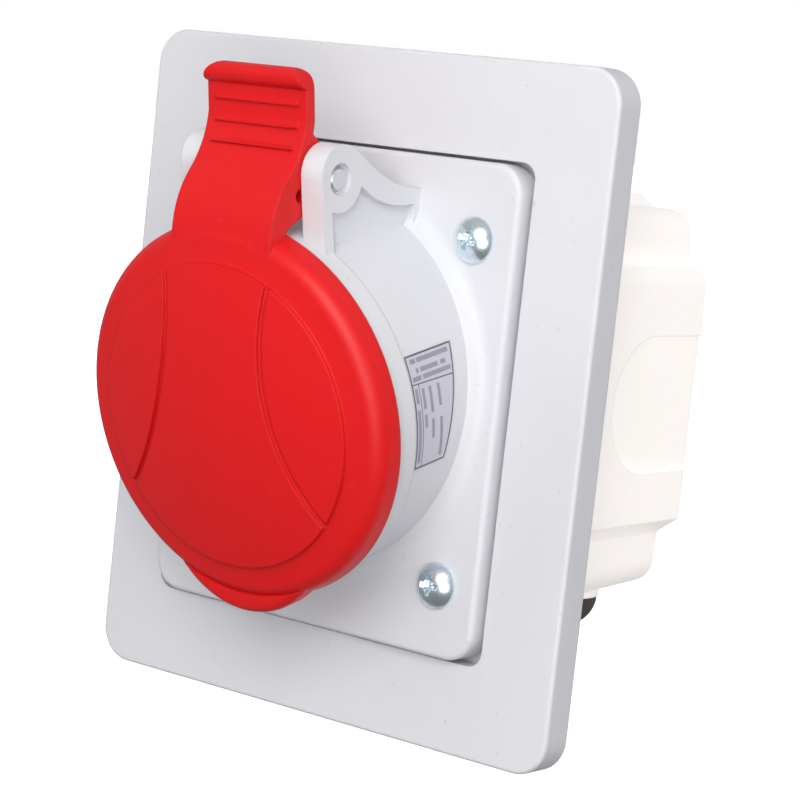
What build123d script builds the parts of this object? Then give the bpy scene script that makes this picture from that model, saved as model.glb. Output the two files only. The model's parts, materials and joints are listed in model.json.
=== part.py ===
from build123d import *
import os
from math import cos, degrees, isclose, radians, sin, sqrt, tan

# Flush-mounted industrial socket with a sprung hinged lid, a frame and a wall box.
# X runs to the right seen from the room, Y runs into the wall and Z is up.
# The wall surface is the plane Y = 0 and the socket is centred on X = 0.

# Frame plate
FRAME_WIDTH = 129.2
FRAME_HEIGHT = 150.0
FRAME_THICKNESS = 7.8
FRAME_OFFSET_X = 1.15
FRAME_CORNER_RADIUS = 8.0
FRAME_EDGE_RADIUS = 0.9
FRAME_SKIN = 2.8
FRAME_RIM_WALL = 2.6
FRAME_RIB = 1.8
FRAME_RIB_PLACES_X = (-33, 33)
FRAME_RIB_PLACES_Z = (-36, 36)
OPENING_WIDTH = 93.6
OPENING_HEIGHT = 108.4
OPENING_CENTRE_Z = -0.6
OPENING_CORNER_RADIUS = 3.6
LEDGE_THICKNESS = 3.0
BOX_RECESS = 0.6
BOX_RECESS_HALF_WIDTH = 53.0
LEDGE_HOLE_RADIUS = 38.6
LEDGE_HOLE_Z = 4.0

# Flange of the socket housing and its seal
FLANGE_WIDTH = 91.5
FLANGE_HEIGHT = 107.0
FLANGE_CORNER_RADIUS = 7.0
FLANGE_FRONT_Y = -11.0
FLANGE_EDGE_RADIUS = 1.2
FLANGE_SKIN = 3.0
FLANGE_RIM_WALL = 2.4
GASKET_THICKNESS = 1.2
GASKET_INSET = 0.6
FLANGE_BOSS_WALL = 2.4
FLANGE_BACK_Y = -LEDGE_THICKNESS - GASKET_THICKNESS
SCREW_X = 35.35
SCREW_TOP_Z = 36.2
SCREW_BOTTOM_Z = -38.3

# Inclined socket axis: the centre of the lid face, the tilt, and the steps along it
TILT_DEG = 13.05
LID_FACE_Y = -45.6
LID_FACE_Z = -6.5
SHROUD_RADIUS = 39.8
COLLAR_RADIUS = 40.3
SPIGOT_RADIUS = 38.6
MOUTH_DEPTH = 6.0
SPIGOT_DEPTH = 8.9
COLLAR_DEPTH = 15.0
BORE_RADIUS = 29.8
TUBE_WALL = 2.6
SHROUD_WALL = 2.6
LAND_THICKNESS = 2.6
TUBE_REAR_DEPTH = 46.0
FOOT_FLARE = 2.6
FOOT_BLEND = 4.0
KEYWAY_WIDTH = 7.2
KEYWAY_DEPTH = 1.9
KEYWAY_END_DEPTH = 42.0
KEY_RIB_WALL = 2.2
CARRIER_BOSS_RADIUS = 2.9
CARRIER_PILOT_RADIUS = 1.25
CARRIER_PILOT_LENGTH = 12.0
JOIN = 0.5

# Hinge: pin centre in the side view, ears and pin
PIN_Y = -38.65
PIN_Z = 46.2
PIN_RADIUS = 2.75
PIN_HALF_LENGTH = 19.2
PIN_END_CHAMFER = 0.6
PIN_CLEARANCE = 0.06
EAR_INNER_X = 13.95
EAR_OUTER_X = 19.7
EAR_RELIEF = 1.8
EAR_BACK_Z = 37.3
EAR_BOSS_RADIUS = 7.15
EAR_COUNTERBORE_RADIUS = 3.35
EAR_COUNTERBORE_DEPTH = 1.2

# Lid
LID_RADIUS = 41.5
LID_DOME_HEIGHT = 3.9
LID_PANEL_RADIUS = 33.2
LID_PANEL_STEP = 0.8
LID_WALL = 2.2
LID_REAR_DEPTH = 8.3
LID_SKIRT_INNER_RADIUS = 39.3
LID_GROOVE_WIDTH = 1.3
LEVER_HALF_WIDTH = 13.65
LEVER_THICKNESS = 2.5
LEVER_TOP = 70.5
LEVER_BEAD_RADIUS = 2.2
LEVER_CORNER_RADIUS = 4.5
LEVER_RIDGES = [(56.1, -13.45), (60.2, -15.3), (64.8, -15.95)]
RIDGE_RISE = 0.8
RIDGE_ROOT = 1.0
RIDGE_LENGTH = 2.6
RIDGE_END_GAP = 2.3
CHEEK_THICKNESS = 2.4
TAB_ARC_RADIUS = 22.7
TAB_ARC_CENTRE = 22.2

# Torsion spring: it leaves the shroud leg at the start angle, seen from the right
SPRING_WIRE_RADIUS = 0.6
SPRING_RADIUS = 4.0
SPRING_PITCH = 2.9
SPRING_TURNS = 3.27
SPRING_START_DEG = 158.3
SPRING_SHROUD_LEG = 15.5
SPRING_LEVER_LEG = 10.5

# Contacts: the circle they stand on, and the sizes for phase and earth
CONTACT_CIRCLE_RADIUS = 14.5
CONTACT_COUNT = 5
PHASE_PIN_DIAMETER = 5.0
EARTH_PIN_DIAMETER = 7.0
PIN_HOLE_CLEARANCE = 0.25
SLEEVE_WALL = 0.95
SLEEVE_RUNNING_FIT = 0.03
SLEEVE_SEAT = 0.1
SLEEVE_SETBACK = 3.4
SLEEVE_END_GAP = 0.4
BARREL_STEP = 0.6
SLEEVE_BORE_LENGTH = 37.5
SLEEVE_SLOT_LENGTH = 20.0
SLEEVE_SLOT_WIDTH = 0.7
SLEEVE_SLOT_DEG = 25.0
WIRE_HOLE_SHARE = 0.78
WIRE_HOLE_LENGTH = 13.0
RING_THICKNESS = 0.45
RING_WIDTH = 4.0
RING_SETBACK = 6.0
RING_GAP = 1.2
CARRIER_RADIUS = 24.6
CARRIER_FACE_DEPTH = 14.5
CARRIER_BASE_RADIUS = 36.9
CARRIER_BASE_THICKNESS = 3.2
CARRIER_REAR_DEPTH = 70.0
TOWER_RADIUS = 24.0
RETAINER_THICKNESS = 2.5
CARRIER_SCREW_CIRCLE = 34.8
CARRIER_SCREW_HOLE_RADIUS = 1.65
BASE_OPENING_RADIUS = 21.0
TOWER_HUB_RADIUS = 7.5
TOWER_ARM_THICKNESS = 1.8
CENTRAL_SCREW_RADIUS = 1.55
CENTRAL_SCREW_LENGTH = 12.0
CENTRAL_HOLE_RADIUS = 1.6
RETAINER_HOLE_SHARE = 0.84
CLAMP_DEPTH = 62.0
CLAMP_SCREW_RADIUS = 1.5
CLAMP_SCREW_LENGTH = 5.0
CLAMP_SCREW_SLOT = (0.6, 4.0, 1.4)
CLAMP_HOLE_RADIUS = 1.55

# Wall box
BOX_DEPTH = 60.0
BOX_WALL = 1.9
BOX_WAIST_HALF_WIDTH = 51.3
BOX_REAR_CHAMFER = 0.8
BOX_SLOPE_RUN = 7.4
BOX_SLOPE_DROP = 5.6
BOX_LAND_TOP = 48.4
KNOCKOUT_RADIUS = 15.6
KNOCKOUT_DEPTH = 0.7
KNOCKOUT_Y = 40.2
KNOCKOUT_Z = 2.1
FIXING_HALF_SPACING = 30.0
FIXING_Z = 3.5
FIXING_HOLE_RADIUS = 3.3
BOX_TALL_FRONT = (47.5, -44.8, 47.0)
BOX_TALL_REAR = (45.9, -41.8, 45.9)
BOX_TALL_CORNER = 6.5
BOX_WAIST_FRONT = (52.4, -25.6, 34.4)
BOX_WAIST_REAR = (BOX_WAIST_HALF_WIDTH, -25.0, 33.4)
BOX_WAIST_CORNER = 5.0
BOX_LAND = (37.5, 31.0, 44.0)
POST_RADIUS = 5.9
POST_WEB = 2.4
POST_REACH = 12.0
POST_LENGTH = 26.0
POST_HOLE_LENGTH = 24.0
INSERT_RADIUS = 3.6
INSERT_START = 0.5
INSERT_LENGTH = 10.5
INSERT_SEAT_LENGTH = 12.5
GROMMET_X = 30.85
GROMMET_Y = 38.0
GROMMET_Z = -43.75
GROMMET_RADIUS = 12.0
GROMMET_NECK_RADIUS = 8.0
GROMMET_DROP = 7.7
GROMMET_BEND = 7.2
GROMMET_COLLAR = 0.35
GROMMET_LIP_HEIGHT = 4.9
GROMMET_LIP_THICKNESS = 0.8
GROMMET_LIP_REACH = 1.5
GROMMET_FIT = 0.1
GROMMET_COLLAR_HEIGHT = 5.0

# Fasteners
SCREW_HEAD_RADIUS = 5.0
SCREW_HEAD_HEIGHT = 3.4
SCREW_CROWN_RADIUS = 7.0
SCREW_SHANK_RADIUS = 2.45
SCREW_LENGTH = 30.0
SCREW_HOLE_RADIUS = 2.8
CARRIER_SCREW_HEAD = (2.1, 1.5)
CARRIER_SCREW_SHANK = (1.2, 10.0)
CENTRAL_SCREW_HEAD = (3.2, 2.2)

# Rating label on the shroud
LABEL_THICKNESS = 0.2
LABEL_GAP = 0.02
LABEL_TOP_DEG = 22.0
LABEL_BOTTOM_DEG = -13.5
LABEL_REAR_Y = -18.3
LABEL_FRONT_GAP = 0.3

# Cutting tools pass a surface by this much, and the largest ones are this long
OVERCUT = 1.0
REACH = 100.0

os.makedirs("parts", exist_ok=True)

TILT = radians(TILT_DEG)
SCREW_PLACES = [(x, z) for x in (-SCREW_X, SCREW_X) for z in (SCREW_TOP_Z, SCREW_BOTTOM_Z)]

# The socket frame has X across, local Y up the lid face and local Z out along the socket axis.
SOCKET = Plane(
    origin=(0, LID_FACE_Y, LID_FACE_Z), x_dir=(1, 0, 0), z_dir=(0, -cos(TILT), -sin(TILT))
)
# Side view of the socket frame: sketch x is up the lid face, sketch y is out along the axis.
SOCKET_SIDE = Plane(origin=(0, 0, 0), x_dir=(0, 1, 0), z_dir=(1, 0, 0))


def facing_room(depth_y):
    """Sketch plane parallel to the wall: sketch x is X, sketch y is Z, its normal points to the room."""
    return Plane(origin=(0, depth_y, 0), x_dir=(1, 0, 0), z_dir=(0, -1, 0))


def slab(outline, back_y, front_y):
    """A plate parallel to the wall between two depths."""
    return extrude(facing_room(back_y) * outline, amount=back_y - front_y)


def side_plate(outline, start_x, end_x):
    """A plate whose outline is drawn in the side view: sketch x is Y and sketch y is Z."""
    side = Plane(origin=(start_x, 0, 0), x_dir=(0, 1, 0), z_dir=(1, 0, 0))
    return extrude(side * outline, amount=end_x - start_x)


def cheek_plate(outline, start_x, end_x):
    """A plate in the socket frame whose outline is drawn in its side view."""
    return Pos(start_x, 0, 0) * extrude(SOCKET_SIDE * outline, amount=end_x - start_x)


def axial(radius, deep, shallow):
    """A cylinder on the socket axis between two depths behind the lid face."""
    return Pos(0, 0, -(deep + shallow) / 2) * Cylinder(radius, deep - shallow)


def spun(outline):
    """A full turn about the socket axis of an outline drawn as radius and distance along it."""
    return revolve(Plane.XZ * outline, Axis.Z)


def in_socket(shape):
    """Moves a shape from the socket frame to the wall frame."""
    return SOCKET.location * shape


def pin_in_socket():
    """Pin centre in the socket frame, as up the face and out along the axis."""
    local = SOCKET.to_local_coords(Vector(0, PIN_Y, PIN_Z))
    return local.Y, local.Z


def contact_places():
    """Names, positions on the contact circle and pin diameters, the earth at the bottom."""
    names = ["pe", "n", "l1", "l2", "l3"]
    places = []
    for index, name in enumerate(names):
        angle = radians(-90 - index * 360 / CONTACT_COUNT)
        diameter = EARTH_PIN_DIAMETER if name == "pe" else PHASE_PIN_DIAMETER
        x = CONTACT_CIRCLE_RADIUS * cos(angle)
        y = CONTACT_CIRCLE_RADIUS * sin(angle)
        places.append((name, x, y, diameter, degrees(angle)))
    return places


def room_block(depth_y):
    """A large block on the room's side of a plane parallel to the wall."""
    return Pos(0, depth_y - REACH / 2, 0) * Box(2 * REACH, REACH, 2 * REACH)


def screw_circles(radius):
    """The four flange screw places as circles for a sketch parallel to the wall."""
    return [Pos(x, z) * Circle(radius) for x, z in SCREW_PLACES]


def build_frame_plate():
    """The frame: a moulded plate with an opening, a ledge for the seal and ribs at the back."""
    opening = Pos(0, OPENING_CENTRE_Z) * RectangleRounded(
        OPENING_WIDTH, OPENING_HEIGHT, OPENING_CORNER_RADIUS
    )
    centred = Pos(FRAME_OFFSET_X, 0)
    outline = centred * RectangleRounded(FRAME_WIDTH, FRAME_HEIGHT, FRAME_CORNER_RADIUS)
    plate = slab(outline, 0, -FRAME_THICKNESS)
    plate = fillet(plate.faces().sort_by(Axis.Y)[0].outer_wire().edges(), FRAME_EDGE_RADIUS)
    plate -= slab(opening, -LEDGE_THICKNESS, -FRAME_THICKNESS - OVERCUT)
    plate -= slab(Pos(0, LEDGE_HOLE_Z) * Circle(LEDGE_HOLE_RADIUS), OVERCUT, -LEDGE_THICKNESS)
    for hole in screw_circles(SCREW_HOLE_RADIUS):
        plate -= slab(hole, OVERCUT, -LEDGE_THICKNESS)

    # Two rings of pockets at the back, kept apart by a ring rib and crossed by straight ribs.
    outer = (FRAME_WIDTH - 2 * FRAME_RIM_WALL, FRAME_HEIGHT - 2 * FRAME_RIM_WALL)
    inner = (OPENING_WIDTH + 2 * FRAME_RIM_WALL, OPENING_HEIGHT + 2 * FRAME_RIM_WALL)
    middle = ((outer[0] + inner[0]) / 2, (outer[1] + inner[1]) / 2)
    pocket = centred * RectangleRounded(*outer, FRAME_CORNER_RADIUS - FRAME_RIM_WALL)
    pocket -= centred * Rectangle(middle[0] + FRAME_RIB, middle[1] + FRAME_RIB)
    pocket += centred * Rectangle(middle[0] - FRAME_RIB, middle[1] - FRAME_RIB)
    pocket -= Pos(0, OPENING_CENTRE_Z) * Rectangle(*inner)
    for x in FRAME_RIB_PLACES_X:
        pocket -= Pos(x, 0) * Rectangle(FRAME_RIB, FRAME_HEIGHT)
    for z in FRAME_RIB_PLACES_Z:
        pocket -= Pos(0, z) * Rectangle(FRAME_WIDTH + 2 * FRAME_OFFSET_X, FRAME_RIB)
    plate -= slab(pocket, OVERCUT, -FRAME_THICKNESS + FRAME_SKIN)

    # The box mouth sits in a shallow recess, so only the outer rings touch the wall.
    recess = Pos(0, OPENING_CENTRE_Z) * Rectangle(2 * BOX_RECESS_HALF_WIDTH, inner[1])
    return plate - slab(recess, OVERCUT, -BOX_RECESS)


def build_flange_gasket():
    """The flat seal between the flange and the ledge of the frame."""
    seal = Pos(0, OPENING_CENTRE_Z) * RectangleRounded(
        FLANGE_WIDTH - 2 * GASKET_INSET, FLANGE_HEIGHT - 2 * GASKET_INSET, FLANGE_CORNER_RADIUS
    )
    seal -= Pos(0, LEDGE_HOLE_Z) * Circle(LEDGE_HOLE_RADIUS)
    for hole in screw_circles(SCREW_HOLE_RADIUS):
        seal -= hole
    return slab(seal, -LEDGE_THICKNESS, FLANGE_BACK_Y)


def ear_outline():
    """Side view of one hinge ear with its arm, down to where it stands on the shroud."""
    foot_front = (-41.15, 29.7)
    head_start = (-44.65, 45.8)
    head_middle = (-43.0, 51.5)
    head_end = (-38.7, 53.5)
    arm_points = [head_end, (-31.4, 51.1), (-24.0, 47.5), (-17.8, 45.9), (FLANGE_FRONT_Y + OVERCUT, 45.6)]
    front = Line(foot_front, head_start)
    head = ThreePointArc(head_start, head_middle, head_end)
    arm = Spline(*arm_points, tangents=[(1, 0.05), (1, 0)])
    back = Line(arm_points[-1], (FLANGE_FRONT_Y + OVERCUT, EAR_BACK_Z))
    foot = Line((FLANGE_FRONT_Y + OVERCUT, EAR_BACK_Z), foot_front)
    return make_face([front, head, arm, back, foot])


def ear_panel():
    """Side view of the sunk panel under the boss and the arm."""
    rim_foot = (-37.85, 29.8)
    rim_top = (-40.2, 39.22)
    cusp = (-31.6, 45.1)
    boss_bottom = (PIN_Y + EAR_BOSS_RADIUS * cos(radians(-62)), PIN_Z + EAR_BOSS_RADIUS * sin(radians(-62)))
    rim = Line(rim_foot, rim_top)
    boss = ThreePointArc(rim_top, boss_bottom, cusp)
    arm = ThreePointArc(cusp, (-23.1, 41.9), (-13.0, 42.1))
    back = Line((-13.0, 42.1), (-12.3, 36.3))
    foot = Line((-12.3, 36.3), rim_foot)
    return make_face([rim, boss, arm, back, foot])


def build_ear():
    """The right-hand hinge ear: a plate with a raised rim, boss and arm round a sunk panel."""
    ear = side_plate(ear_outline(), EAR_INNER_X, EAR_OUTER_X)
    ear -= side_plate(ear_panel(), EAR_OUTER_X - EAR_RELIEF, EAR_OUTER_X + OVERCUT)
    bore = Location((0, PIN_Y, PIN_Z), (0, 90, 0))
    ear -= bore * Cylinder(PIN_RADIUS + PIN_CLEARANCE, 2 * (EAR_OUTER_X + OVERCUT))
    counterbore = Location((EAR_OUTER_X, PIN_Y, PIN_Z), (0, 90, 0))
    return ear - counterbore * Cylinder(EAR_COUNTERBORE_RADIUS, 2 * EAR_COUNTERBORE_DEPTH)


def build_socket_housing():
    """The housing: flange, inclined shroud with collar, hinge ears, inner tube with keyway."""
    flange = slab(
        Pos(0, OPENING_CENTRE_Z) * RectangleRounded(FLANGE_WIDTH, FLANGE_HEIGHT, FLANGE_CORNER_RADIUS),
        FLANGE_BACK_Y,
        FLANGE_FRONT_Y,
    )
    flange = fillet(flange.faces().sort_by(Axis.Y)[0].outer_wire().edges(), FLANGE_EDGE_RADIUS)
    room_side = room_block(FLANGE_FRONT_Y + OVERCUT)
    shroud = in_socket(axial(SHROUD_RADIUS, 60, MOUTH_DEPTH)) & room_side
    housing = flange + shroud
    joint = [
        edge
        for edge in housing.edges().filter_by(GeomType.ELLIPSE)
        if isclose(edge.center().Y, FLANGE_FRONT_Y, abs_tol=SLEEVE_RUNNING_FIT)
    ]
    housing = chamfer(joint, FOOT_FLARE)
    foot = [
        edge
        for edge in housing.faces().filter_by(Plane.XZ).sort_by(Axis.Y)[0].edges()
        if edge.length > SHROUD_RADIUS * 6
    ]
    housing = fillet(foot, FOOT_BLEND)

    # The collar stands a little proud of the shroud, and the lid skirt covers the spigot.
    housing += in_socket(axial(COLLAR_RADIUS, COLLAR_DEPTH, SPIGOT_DEPTH))
    step = axial(COLLAR_RADIUS + OVERCUT, SPIGOT_DEPTH, MOUTH_DEPTH - OVERCUT)
    housing -= in_socket(step - axial(SPIGOT_RADIUS, SPIGOT_DEPTH, MOUTH_DEPTH - OVERCUT))
    ear = build_ear()
    housing += ear
    housing += mirror(ear, Plane.YZ)

    # Hollow back: the flange pocket with its screw bosses, then the ring space round the tube.
    pocket = Pos(0, OPENING_CENTRE_Z) * RectangleRounded(
        FLANGE_WIDTH - 2 * FLANGE_RIM_WALL, FLANGE_HEIGHT - 2 * FLANGE_RIM_WALL, FLANGE_CORNER_RADIUS - FLANGE_RIM_WALL
    )
    for boss in screw_circles(SCREW_HOLE_RADIUS + FLANGE_BOSS_WALL):
        pocket -= boss
    housing -= slab(pocket, 0, FLANGE_FRONT_Y + FLANGE_SKIN)
    land_depth = MOUTH_DEPTH + LAND_THICKNESS
    housing -= in_socket(axial(SHROUD_RADIUS - SHROUD_WALL, REACH, land_depth))
    tube = axial(BORE_RADIUS + TUBE_WALL, TUBE_REAR_DEPTH, land_depth - JOIN)
    rib_reach = BORE_RADIUS + KEYWAY_DEPTH + KEY_RIB_WALL
    key_rib = Pos(0, -rib_reach / 2) * Rectangle(KEYWAY_WIDTH + 2 * KEY_RIB_WALL, rib_reach)
    tube += extrude(Pos(0, 0, -TUBE_REAR_DEPTH) * key_rib, amount=TUBE_REAR_DEPTH - land_depth + JOIN)
    for boss_x, boss_y in carrier_screw_places():
        tube += Pos(boss_x, boss_y, 0) * axial(CARRIER_BOSS_RADIUS, TUBE_REAR_DEPTH, land_depth - JOIN)
        pilot = axial(CARRIER_PILOT_RADIUS, TUBE_REAR_DEPTH + OVERCUT, TUBE_REAR_DEPTH - CARRIER_PILOT_LENGTH)
        tube -= Pos(boss_x, boss_y, 0) * pilot
    housing += in_socket(tube)
    housing -= in_socket(axial(BORE_RADIUS, TUBE_REAR_DEPTH + OVERCUT, MOUTH_DEPTH - OVERCUT))
    keyway = Pos(0, -BORE_RADIUS) * Rectangle(KEYWAY_WIDTH, 2 * KEYWAY_DEPTH)
    keyway = extrude(Pos(0, 0, -KEYWAY_END_DEPTH) * keyway, amount=KEYWAY_END_DEPTH - MOUTH_DEPTH + OVERCUT)
    housing -= in_socket(keyway)
    for hole in screw_circles(SCREW_HOLE_RADIUS):
        housing -= slab(hole, 0, FLANGE_FRONT_Y - OVERCUT)
    return housing


def carrier_screw_places():
    """The three carrier screws stand on a circle in the ring space."""
    angles = [radians(a) for a in (90, 210, 330)]
    return [(CARRIER_SCREW_CIRCLE * cos(a), CARRIER_SCREW_CIRCLE * sin(a)) for a in angles]


def build_hinge_pin():
    """The hinge pin with chamfered ends, sunk in the counterbores of the ears."""
    pin = Cylinder(PIN_RADIUS, 2 * PIN_HALF_LENGTH)
    pin = chamfer(pin.edges().filter_by(GeomType.CIRCLE), PIN_END_CHAMFER)
    return Pos(0, PIN_Y, PIN_Z) * Rot(0, 90, 0) * pin


def dome_height(radius, drop=0.0):
    """Distance of the domed lid face in front of the rim circle of its panels."""
    sphere = (LID_PANEL_RADIUS**2 + LID_DOME_HEIGHT**2) / (2 * LID_DOME_HEIGHT)
    return sqrt(sphere**2 - radius**2) - sphere + LID_DOME_HEIGHT - drop


def dome_arc(radius, drop):
    """Section of the domed face from the axis out to a radius."""
    return ThreePointArc(
        (0, dome_height(0, drop)), (radius / 2, dome_height(radius / 2, drop)), (radius, dome_height(radius, drop))
    )


def lid_shell():
    """The round cap of the lid: dome, rounded shoulder, flared skirt and a flat seat for the seal."""
    shoulder = (37.2, dome_height(37.2, LID_PANEL_STEP))
    skirt_top = (41.1, -5.7)
    seat_depth = -4.1
    seat_inner = 29.4
    under = LID_PANEL_STEP + LID_WALL
    outline = make_face([
        dome_arc(shoulder[0], LID_PANEL_STEP),
        ThreePointArc(shoulder, (40.1, -3.25), skirt_top),
        Line(skirt_top, (LID_RADIUS, -LID_REAR_DEPTH)),
        Line((LID_RADIUS, -LID_REAR_DEPTH), (LID_SKIRT_INNER_RADIUS, -LID_REAR_DEPTH)),
        Line((LID_SKIRT_INNER_RADIUS, -LID_REAR_DEPTH), (38.9, seat_depth)),
        Line((38.9, seat_depth), (seat_inner, seat_depth)),
        Line((seat_inner, seat_depth), (seat_inner, dome_height(seat_inner, under))),
        ThreePointArc(
            (seat_inner, dome_height(seat_inner, under)),
            (seat_inner / 2, dome_height(seat_inner / 2, under)),
            (0, dome_height(0, under)),
        ),
        Line((0, dome_height(0, under)), (0, dome_height(0, LID_PANEL_STEP))),
    ])
    return spun(outline)


def lid_panels():
    """The three raised panels of the lid face, parted by two arched grooves."""
    groove_centre = (73.4, 19.0)
    groove_radius = 60.2
    outline = Circle(LID_PANEL_RADIUS)
    for side in (-1, 1):
        centre = Pos(side * groove_centre[0], groove_centre[1])
        outer = centre * Circle(groove_radius + LID_GROOVE_WIDTH / 2)
        inner = centre * Circle(groove_radius - LID_GROOVE_WIDTH / 2)
        outline -= outer - inner
    column = extrude(outline, amount=LID_DOME_HEIGHT + 1) + extrude(outline, amount=-2)
    dome = make_face([
        dome_arc(LID_PANEL_RADIUS + 1, 0),
        Line((LID_PANEL_RADIUS + 1, dome_height(LID_PANEL_RADIUS + 1)), (LID_PANEL_RADIUS + 1, -1.6)),
        Line((LID_PANEL_RADIUS + 1, -1.6), (0, -1.6)),
        Line((0, -1.6), (0, dome_height(0))),
    ])
    return column & spun(dome)


def lever_section():
    """Side view of the lever: it leaves the rim, swings back past the hinge and ends in a bead."""
    root = (33.0, -1.55)
    neck = (37.0, -2.2)
    swing = (50.5, -8.9)
    straight = (62.0, -15.8)
    tip = (LEVER_TOP, -16.2)
    front = [
        Line(root, neck),
        ThreePointArc(neck, (44.0, -4.1), swing),
        ThreePointArc(swing, (55.5, -13.1), straight),
        Line(straight, tip),
    ]
    back_tip = (LEVER_TOP, -16.2 - LEVER_THICKNESS)
    back_straight = (61.5, -15.8 - LEVER_THICKNESS)
    back_swing = (48.8, -10.7)
    back_neck = (39.6, -4.1)
    back_root = (33.0, -4.1)
    back = [
        Line(tip, back_tip),
        Line(back_tip, back_straight),
        ThreePointArc(back_straight, (54.2, -15.4), back_swing),
        ThreePointArc(back_swing, (44.6, -7.3), back_neck),
        Line(back_neck, back_root),
        Line(back_root, root),
    ]
    return make_face(front + back)


def cheek_outline():
    """Side view of a cheek of the lever: from the skin back round the hinge pin."""
    pin_up, pin_out = pin_in_socket()
    barrel = Pos(pin_up, pin_out) * Circle(5.7)
    web = make_face([
        Line((36.5, -3.6), (38.6, -2.9)),
        ThreePointArc((38.6, -2.9), (44.2, -4.6), (50.4, -9.4)),
        ThreePointArc((50.4, -9.4), (55.2, -13.4), (60.5, -16.0)),
        Line((60.5, -16.0), (pin_up + 4.6, pin_out - 3.3)),
        Line((pin_up + 4.6, pin_out - 3.3), (pin_up - 4.9, pin_out - 2.9)),
        Line((pin_up - 4.9, pin_out - 2.9), (41.0, -9.2)),
        Line((41.0, -9.2), (36.5, -3.6)),
    ])
    window = Pos(46.7, -12.5) * RectangleRounded(2.6, 2.4, 1.0)
    return web + barrel - window


def build_lid():
    """The lid with its lever, cheeks, ridges, bottom tab and catch, in one moulding."""
    pin_up, pin_out = pin_in_socket()
    lid = lid_shell() + lid_panels()

    # The bottom tab has the section of the rim, cut to an arc that passes the rim circle.
    tab_outline = Pos(0, -TAB_ARC_CENTRE) * Circle(TAB_ARC_RADIUS)
    tab_outline -= Circle(LID_RADIUS - 1.2)
    tab = extrude(Pos(0, 0, -LID_REAR_DEPTH) * tab_outline, amount=LID_REAR_DEPTH - 2.6)
    tab_front = tab.faces().sort_by(Axis.Z)[-1]
    tab = fillet(tab_front.edges().filter_by(lambda e: e.radius < LID_RADIUS - 2), 2.2)
    lid += tab

    lever = cheek_plate(lever_section(), -LEVER_HALF_WIDTH, LEVER_HALF_WIDTH)
    bead = Pos(0, LEVER_TOP, -16.5) * Rot(0, 90, 0) * Cylinder(LEVER_BEAD_RADIUS, 2 * LEVER_HALF_WIDTH)
    lever += bead
    top = LEVER_TOP + LEVER_BEAD_RADIUS
    blank = Pos(0, top / 2, 0) * Rectangle(2 * LEVER_HALF_WIDTH, top)
    blank = fillet(blank.vertices().sort_by(Axis.Y)[-2:], LEVER_CORNER_RADIUS)
    lever &= extrude(Pos(0, 0, -REACH / 2) * blank, amount=REACH)
    for start in (-LEVER_HALF_WIDTH, LEVER_HALF_WIDTH - CHEEK_THICKNESS):
        lever += cheek_plate(cheek_outline(), start, start + CHEEK_THICKNESS)
    pin_hole = Pos(0, pin_up, pin_out) * Rot(0, 90, 0) * Cylinder(PIN_RADIUS + PIN_CLEARANCE, 2 * EAR_OUTER_X)
    for height, face in LEVER_RIDGES:
        lever += lever_ridge(height, face)
    lid += lever - pin_hole

    # The catch holds a plug by its lug once the lid is let down on it.
    catch = Pos(0, 25.5, -3.2) * Box(12, 2.4, 6.4)
    lid += fillet(catch.edges().filter_by(Axis.X).sort_by(Axis.Z)[:2], 0.8)
    return in_socket(lid)


def lever_ridge(height, face):
    """One finger ridge across the lever: a ramp that ends in a sharp lower edge."""
    ridge = make_face(Polyline(
        (height, face - RIDGE_ROOT),
        (height + 0.1, face + RIDGE_RISE),
        (height + 0.8, face + RIDGE_RISE - 0.1),
        (height + RIDGE_LENGTH, face - RIDGE_ROOT),
        close=True,
    ))
    reach = LEVER_HALF_WIDTH - RIDGE_END_GAP
    return cheek_plate(ridge, -reach, reach)


def build_lid_gasket():
    """The flat rubber seal ring under the lid."""
    return in_socket(axial(37.8, 5.6, 4.1) - axial(30.4, 5.6, 4.1))


def build_lid_spring():
    """The torsion spring round the hinge pin: one leg on the shroud, one behind the lever."""
    height = SPRING_TURNS * SPRING_PITCH
    coil = Helix(pitch=SPRING_PITCH, height=height, radius=SPRING_RADIUS)
    shroud_leg = Line(coil @ 0 - (coil % 0) * SPRING_SHROUD_LEG, coil @ 0)
    lever_leg = Line(coil @ 1, coil @ 1 + (coil % 1) * SPRING_LEVER_LEG)
    section = Plane(origin=shroud_leg @ 0, z_dir=shroud_leg % 0) * RegularPolygon(SPRING_WIRE_RADIUS, 6)
    spring = sweep(section, path=Wire([shroud_leg, coil, lever_leg]))
    pin_up, pin_out = pin_in_socket()
    start = radians(SPRING_START_DEG)
    place = Plane(
        origin=(height / 2, pin_up, pin_out), x_dir=(0, cos(start), sin(start)), z_dir=(-1, 0, 0)
    )
    return in_socket(place.location * spring)


def build_contact_boss():
    """The round boss inside the mouth with a through hole for each sleeve."""
    boss = axial(CARRIER_RADIUS, TUBE_REAR_DEPTH, CARRIER_FACE_DEPTH)
    for name, x, y, diameter, angle in contact_places():
        hole = diameter / 2 + PIN_HOLE_CLEARANCE + SLEEVE_WALL + SLEEVE_SEAT
        boss -= Pos(x, y, 0) * axial(hole, TUBE_REAR_DEPTH + OVERCUT, CARRIER_FACE_DEPTH - OVERCUT)
    return in_socket(boss)


def build_carrier_base():
    """The ring screwed to the rear of the housing; the boss and the star of walls are welded to it."""
    outline = Circle(CARRIER_BASE_RADIUS) - Circle(BASE_OPENING_RADIUS)
    for x, y in carrier_screw_places():
        outline -= Pos(x, y) * Circle(CARRIER_SCREW_HOLE_RADIUS)
    return in_socket(extrude(Pos(0, 0, -TUBE_REAR_DEPTH) * outline, amount=-CARRIER_BASE_THICKNESS))


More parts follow.
